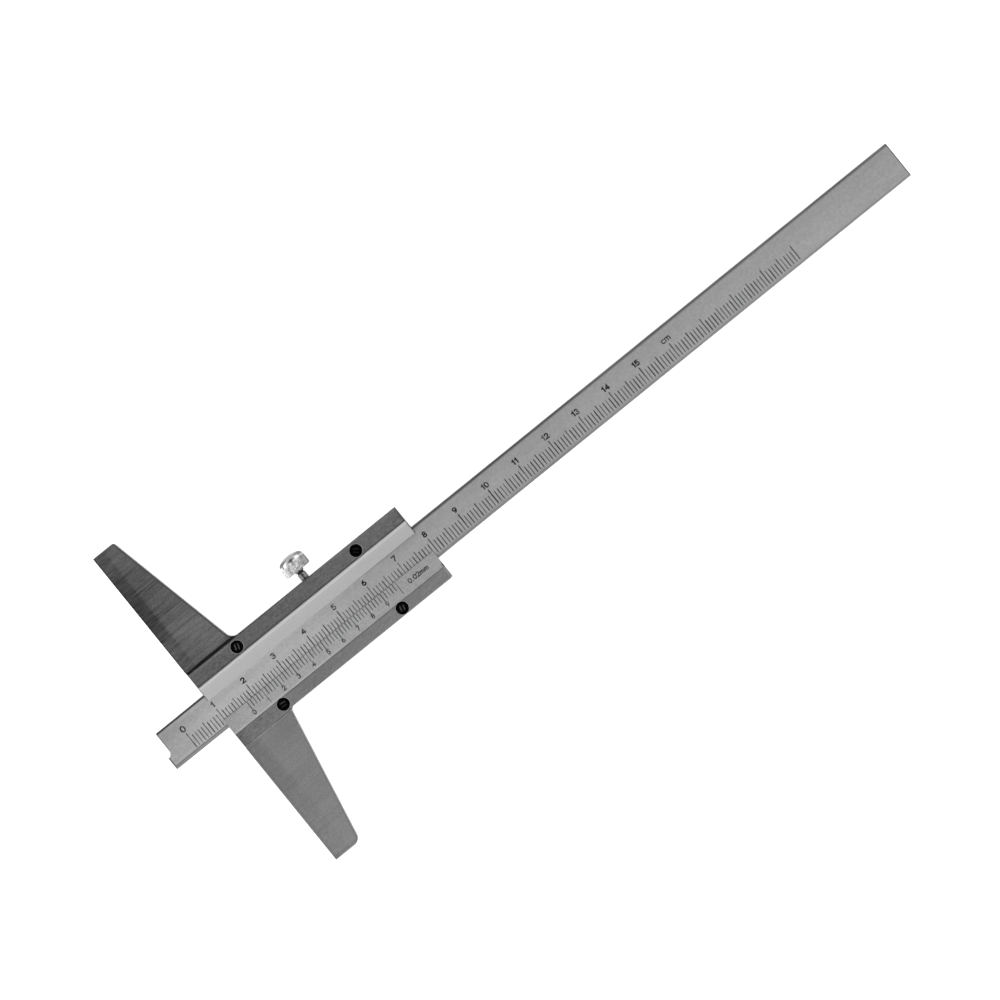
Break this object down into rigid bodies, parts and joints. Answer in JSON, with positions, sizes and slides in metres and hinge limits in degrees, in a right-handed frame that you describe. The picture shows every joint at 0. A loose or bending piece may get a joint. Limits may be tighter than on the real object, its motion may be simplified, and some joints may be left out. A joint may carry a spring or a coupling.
{
  "type": "vernier depth gauge",
  "caption": "Vernier depth gauge: T-shaped ground steel base and slider with a graduated sliding beam, a bevelled vernier plate and a knurled clamp screw.",
  "frame": {"origin": "on the measuring face, on the beam's centre line, at the plane of the gauge's back", "axes": "+X along the beam, away from the measured surface; +Y along the measuring base, towards the clamp screw; +Z out of the graduated front"},
  "size_m": [0.2435, 0.0996, 0.0077],
  "materials": {
    "satin_chrome": "micro-blasted satin chrome on steel, engraved black scale",
    "ground_steel": "surface ground steel, fine grain along the beam's direction",
    "guide_plate": "ground steel flange with a brighter satin-chromed raised band",
    "vernier_plate": "ground steel flange with a satin-chromed bevelled band, engraved black vernier scale",
    "spring_steel": "plain spring steel strip",
    "nickel": "bright nickel plate, knurled rim",
    "black_oxide": "black oxide on steel",
    "scale_ink": "black fill of the engraved scales"
  },
  "bodies": {
    "slider": {"base_frame": "ground_steel", "guide_plate": "guide_plate", "vernier_plate": "vernier_plate", "leaf_spring": "spring_steel", "guide_screw_front": "black_oxide", "guide_screw_rear": "black_oxide", "vernier_screw_front": "black_oxide", "vernier_screw_rear": "black_oxide"},
    "beam": {"beam": "satin_chrome"},
    "clamp": {"clamp_screw": "nickel"}
  },
  "joints": [
    {"name": "beam_slide", "type": "slide", "parent": "slider", "child": "beam", "axis": [1, 0, 0], "range_m": [-0.1327, 0.0173]},
    {"name": "clamp_turn", "type": "hinge", "parent": "slider", "child": "clamp", "pos_m": [0.03935, 0.0119, 0.004], "axis": [0, -1, 0], "range_deg": [-540, 45]}
  ]
}
